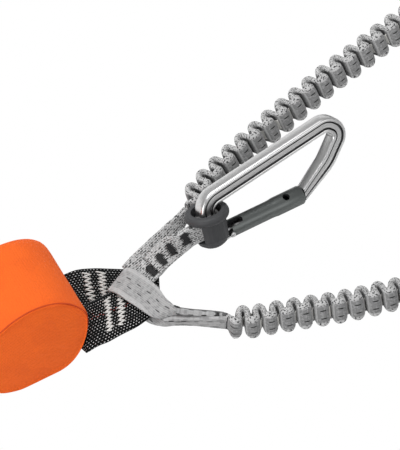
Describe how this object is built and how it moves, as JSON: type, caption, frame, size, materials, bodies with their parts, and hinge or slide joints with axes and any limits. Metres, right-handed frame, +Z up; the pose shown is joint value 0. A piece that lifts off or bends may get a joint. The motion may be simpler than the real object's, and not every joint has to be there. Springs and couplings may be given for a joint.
{
  "type": "via ferrata lanyard",
  "caption": "Y-shaped climbing lanyard: folded tear webbing in a fabric pouch, elastic webbing arms, rest carabiner and gated connectors.",
  "frame": {"origin": "middle of the flat strip under the pouch, on the surface the lanyard lies on", "axes": "+Z up off that surface, +X towards the arms' side, +Y towards the pouch's back"},
  "size_m": [0.4491, 0.3977, 0.0432],
  "materials": {
    "orange_fabric": "fine plain weave, matt",
    "black_webbing": "dense webbing with light flecks",
    "dark_tape": "zip tape, matt",
    "grey_webbing": "tubular webbing with dark dashes",
    "elastic": "woven elastic, matt",
    "grey_rubber": "smooth moulded, satin",
    "polished_alloy": "satin polished",
    "grey_anodised": "satin anodised",
    "steel": "bright"
  },
  "bodies": {
    "pouch": {"front_loop": "black_webbing", "harness_loop": "black_webbing", "lower_arm_core": "elastic", "lower_arm_loop": "grey_webbing", "lower_arm_sleeve": "grey_webbing", "lower_connector_body": "polished_alloy", "lower_connector_hinge_rivet": "steel", "lower_connector_keeper": "grey_rubber", "lower_connector_lever_pin": "steel", "lower_end_loop": "grey_webbing", "pouch_body": "orange_fabric", "pouch_front_panel": "orange_fabric", "rest_carabiner_body": "polished_alloy", "rest_carabiner_hinge_rivet": "steel", "rest_carabiner_keeper": "grey_rubber", "rest_sling": "grey_webbing", "tear_webbing": "black_webbing", "upper_arm_core": "elastic", "upper_arm_loop": "grey_webbing", "upper_arm_sleeve": "grey_webbing", "upper_connector_body": "polished_alloy", "upper_connector_hinge_rivet": "steel", "upper_connector_keeper": "grey_rubber", "upper_connector_lever_pin": "steel", "upper_end_loop": "grey_webbing", "zip_tape": "dark_tape"},
    "rest_gate": {"rest_carabiner_gate": "grey_anodised", "rest_carabiner_gate_follower": "steel", "rest_carabiner_gate_spring": "steel", "rest_carabiner_latch_pin": "steel"},
    "lower_gate": {"lower_connector_gate": "grey_anodised", "lower_connector_gate_follower": "steel", "lower_connector_gate_spring": "steel", "lower_connector_latch_pin": "steel"},
    "upper_gate": {"upper_connector_gate": "grey_anodised", "upper_connector_gate_follower": "steel", "upper_connector_gate_spring": "steel", "upper_connector_latch_pin": "steel"},
    "lower_lever": {"lower_connector_lever": "grey_anodised"},
    "upper_lever": {"upper_connector_lever": "grey_anodised"},
    "zip_slider": {"zip_slider": "steel"},
    "zip_pull": {"zip_pull": "steel"}
  },
  "joints": [
    {"name": "rest_gate_swing", "type": "hinge", "parent": "pouch", "child": "rest_gate", "pos_m": [0.11353, 0.06757, 0.01113], "axis": [0.5105, -0.6678, 0.5417], "range_deg": [0, 24], "stiffness_Nm_per_rad": 0.3, "springref_deg": -34.38},
    {"name": "lower_gate_swing", "type": "hinge", "parent": "pouch", "child": "lower_gate", "pos_m": [0.11452, -0.10503, 0.01127], "axis": [-0.0634, -0.0056, 0.998], "range_deg": [0, 26], "stiffness_Nm_per_rad": 0.3, "springref_deg": -34.38},
    {"name": "upper_gate_swing", "type": "hinge", "parent": "pouch", "child": "upper_gate", "pos_m": [0.32729, 0.08736, 0.01127], "axis": [-0.0009, -0.0637, 0.998], "range_deg": [0, 26], "stiffness_Nm_per_rad": 0.3, "springref_deg": -34.38},
    {"name": "lower_lever_squeeze", "type": "hinge", "parent": "pouch", "child": "lower_lever", "pos_m": [0.05101, -0.14563, 0.00701], "axis": [-0.0634, -0.0056, 0.998], "range_deg": [0, 3.4], "stiffness_Nm_per_rad": 1.5, "springref_deg": -14.32},
    {"name": "upper_lever_squeeze", "type": "hinge", "parent": "pouch", "child": "upper_lever", "pos_m": [0.36118, 0.02003, 0.00701], "axis": [-0.0009, -0.0637, 0.998], "range_deg": [0, 3.4], "stiffness_Nm_per_rad": 1.5, "springref_deg": -14.32},
    {"name": "zip_slide", "type": "slide", "parent": "pouch", "child": "zip_slider", "axis": [0.8755, 0.4833, 0], "range_m": [0, 0.03]},
    {"name": "zip_pull_swing", "type": "hinge", "parent": "zip_slider", "child": "zip_pull", "pos_m": [-0.03672, 0.03547, 0.022], "axis": [0, 0, -1], "range_deg": [0, 150]}
  ]
}
